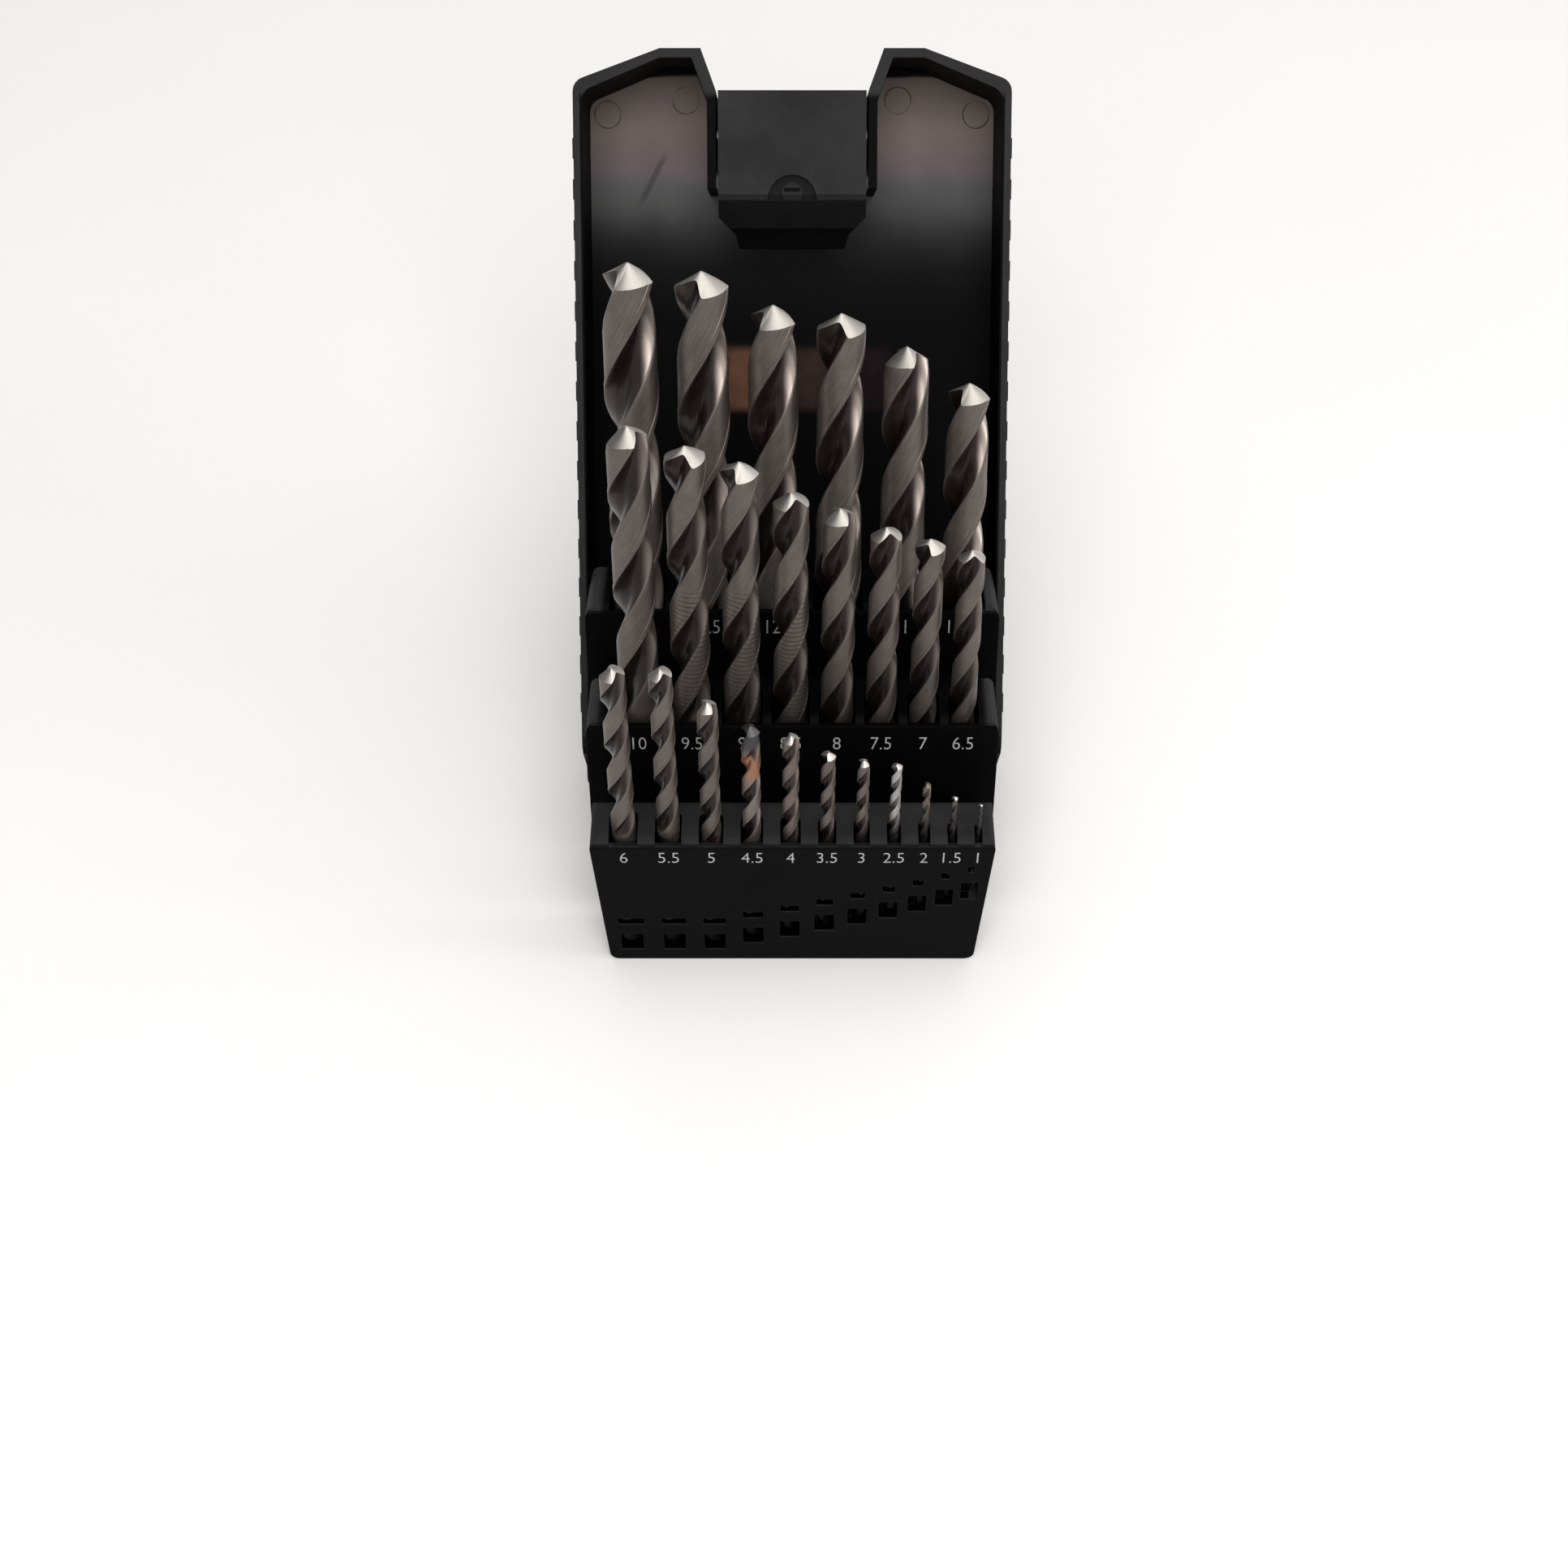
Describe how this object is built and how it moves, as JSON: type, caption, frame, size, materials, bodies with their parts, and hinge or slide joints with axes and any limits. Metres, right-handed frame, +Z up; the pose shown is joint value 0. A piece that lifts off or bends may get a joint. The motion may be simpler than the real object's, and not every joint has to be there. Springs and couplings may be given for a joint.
{
  "type": "drill bit case",
  "caption": "Open plastic case whose stepped racks hold twist drill bits upright by size, in front of a deep hinged lid with a lever latch; the racks tilt back as the lid opens.",
  "frame": {"origin": "the middle of the footprint, on the surface that the case stands on, in the plane of symmetry; the front rack's face is at y = -30 mm", "axes": "+X to the right across the racks, +Y back towards the lid, +Z up"},
  "size_m": [0.1078, 0.1779, 0.159],
  "materials": {
    "base_plastic": "moulded black plastic, fine texture",
    "rack_plastic": "moulded black plastic, satin",
    "lid_plastic": "moulded black plastic, fine sheen, dull grey bloom inside",
    "latch_plastic": "moulded black plastic, satin",
    "plated_steel": "bright zinc-plated steel",
    "drill_steel": "rolled high-speed steel, warm grey lands with darker flutes"
  },
  "bodies": {
    "base": {"base_frame": "base_plastic", "base_screws": "plated_steel", "front_rack": "rack_plastic", "middle_axle": "plated_steel", "rear_axle": "plated_steel"},
    "middle_rack": {"middle_rack": "rack_plastic"},
    "rear_rack": {"rear_rack": "rack_plastic"},
    "lid": {"lid_shell": "lid_plastic", "latch_pin": "plated_steel"},
    "latch": {"latch": "latch_plastic"},
    "bit_13": {"bit_13": "drill_steel"},
    "bit_12_5": {"bit_12_5": "drill_steel"},
    "bit_12": {"bit_12": "drill_steel"},
    "bit_11_5": {"bit_11_5": "drill_steel"},
    "bit_11": {"bit_11": "drill_steel"},
    "bit_10_5": {"bit_10_5": "drill_steel"},
    "bit_10": {"bit_10": "drill_steel"},
    "bit_9_5": {"bit_9_5": "drill_steel"},
    "bit_9": {"bit_9": "drill_steel"},
    "bit_8_5": {"bit_8_5": "drill_steel"},
    "bit_8": {"bit_8": "drill_steel"},
    "bit_7_5": {"bit_7_5": "drill_steel"},
    "bit_7": {"bit_7": "drill_steel"},
    "bit_6_5": {"bit_6_5": "drill_steel"},
    "bit_6": {"bit_6": "drill_steel"},
    "bit_5_5": {"bit_5_5": "drill_steel"},
    "bit_5": {"bit_5": "drill_steel"},
    "bit_4_5": {"bit_4_5": "drill_steel"},
    "bit_4": {"bit_4": "drill_steel"},
    "bit_3_5": {"bit_3_5": "drill_steel"},
    "bit_3": {"bit_3": "drill_steel"},
    "bit_2_5": {"bit_2_5": "drill_steel"},
    "bit_2": {"bit_2": "drill_steel"},
    "bit_1_5": {"bit_1_5": "drill_steel"},
    "bit_1": {"bit_1": "drill_steel"}
  },
  "joints": [
    {"name": "lid_hinge", "type": "hinge", "parent": "base", "child": "lid", "pos_m": [0, 0.0283, 0.008], "axis": [-1, 0, 0], "range_deg": [-39, 0]},
    {"name": "rear_tilt", "type": "hinge", "parent": "base", "child": "rear_rack", "pos_m": [0, 0.0283, 0.008], "axis": [-1, 0, 0], "range_deg": [-16.5, 0]},
    {"name": "middle_tilt", "type": "hinge", "parent": "base", "child": "middle_rack", "pos_m": [0, 0.0041, 0.008], "axis": [-1, 0, 0], "range_deg": [-9, 0]},
    {"name": "latch_swing", "type": "hinge", "parent": "lid", "child": "latch", "pos_m": [0, 0.12208, 0.13652], "axis": [-1, 0, 0], "range_deg": [0, 30]},
    {"name": "bit_13_lift", "type": "slide", "parent": "rear_rack", "child": "bit_13", "axis": [0, 0.284, 0.9588], "range_m": [0, 0.0594]},
    {"name": "bit_12_5_lift", "type": "slide", "parent": "rear_rack", "child": "bit_12_5", "axis": [0, 0.284, 0.9588], "range_m": [0, 0.0594]},
    {"name": "bit_12_lift", "type": "slide", "parent": "rear_rack", "child": "bit_12", "axis": [0, 0.284, 0.9588], "range_m": [0, 0.0594]},
    {"name": "bit_11_5_lift", "type": "slide", "parent": "rear_rack", "child": "bit_11_5", "axis": [0, 0.284, 0.9588], "range_m": [0, 0.0594]},
    {"name": "bit_11_lift", "type": "slide", "parent": "rear_rack", "child": "bit_11", "axis": [0, 0.284, 0.9588], "range_m": [0, 0.0594]},
    {"name": "bit_10_5_lift", "type": "slide", "parent": "rear_rack", "child": "bit_10_5", "axis": [0, 0.284, 0.9588], "range_m": [0, 0.0594]},
    {"name": "bit_10_lift", "type": "slide", "parent": "middle_rack", "child": "bit_10", "axis": [0, 0.1564, 0.9877], "range_m": [0, 0.0513]},
    {"name": "bit_9_5_lift", "type": "slide", "parent": "middle_rack", "child": "bit_9_5", "axis": [0, 0.1564, 0.9877], "range_m": [0, 0.0513]},
    {"name": "bit_9_lift", "type": "slide", "parent": "middle_rack", "child": "bit_9", "axis": [0, 0.1564, 0.9877], "range_m": [0, 0.0513]},
    {"name": "bit_8_5_lift", "type": "slide", "parent": "middle_rack", "child": "bit_8_5", "axis": [0, 0.1564, 0.9877], "range_m": [0, 0.0513]},
    {"name": "bit_8_lift", "type": "slide", "parent": "middle_rack", "child": "bit_8", "axis": [0, 0.1564, 0.9877], "range_m": [0, 0.0513]},
    {"name": "bit_7_5_lift", "type": "slide", "parent": "middle_rack", "child": "bit_7_5", "axis": [0, 0.1564, 0.9877], "range_m": [0, 0.0513]},
    {"name": "bit_7_lift", "type": "slide", "parent": "middle_rack", "child": "bit_7", "axis": [0, 0.1564, 0.9877], "range_m": [0, 0.0513]},
    {"name": "bit_6_5_lift", "type": "slide", "parent": "middle_rack", "child": "bit_6_5", "axis": [0, 0.1564, 0.9877], "range_m": [0, 0.0513]},
    {"name": "bit_6_lift", "type": "slide", "parent": "base", "child": "bit_6", "axis": [0, 0, 1], "range_m": [0, 0.0412]},
    {"name": "bit_5_5_lift", "type": "slide", "parent": "base", "child": "bit_5_5", "axis": [0, 0, 1], "range_m": [0, 0.0412]},
    {"name": "bit_5_lift", "type": "slide", "parent": "base", "child": "bit_5", "axis": [0, 0, 1], "range_m": [0, 0.0412]},
    {"name": "bit_4_5_lift", "type": "slide", "parent": "base", "child": "bit_4_5", "axis": [0, 0, 1], "range_m": [0, 0.0387]},
    {"name": "bit_4_lift", "type": "slide", "parent": "base", "child": "bit_4", "axis": [0, 0, 1], "range_m": [0, 0.0362]},
    {"name": "bit_3_5_lift", "type": "slide", "parent": "base", "child": "bit_3_5", "axis": [0, 0, 1], "range_m": [0, 0.0337]},
    {"name": "bit_3_lift", "type": "slide", "parent": "base", "child": "bit_3", "axis": [0, 0, 1], "range_m": [0, 0.0312]},
    {"name": "bit_2_5_lift", "type": "slide", "parent": "base", "child": "bit_2_5", "axis": [0, 0, 1], "range_m": [0, 0.0287]},
    {"name": "bit_2_lift", "type": "slide", "parent": "base", "child": "bit_2", "axis": [0, 0, 1], "range_m": [0, 0.0262]},
    {"name": "bit_1_5_lift", "type": "slide", "parent": "base", "child": "bit_1_5", "axis": [0, 0, 1], "range_m": [0, 0.0237]},
    {"name": "bit_1_lift", "type": "slide", "parent": "base", "child": "bit_1", "axis": [0, 0, 1], "range_m": [0, 0.0212]}
  ],
  "couplings": [
    {"joint": "rear_tilt", "follows": "lid_hinge", "ratio": 0.423},
    {"joint": "middle_tilt", "follows": "lid_hinge", "ratio": 0.2307}
  ]
}
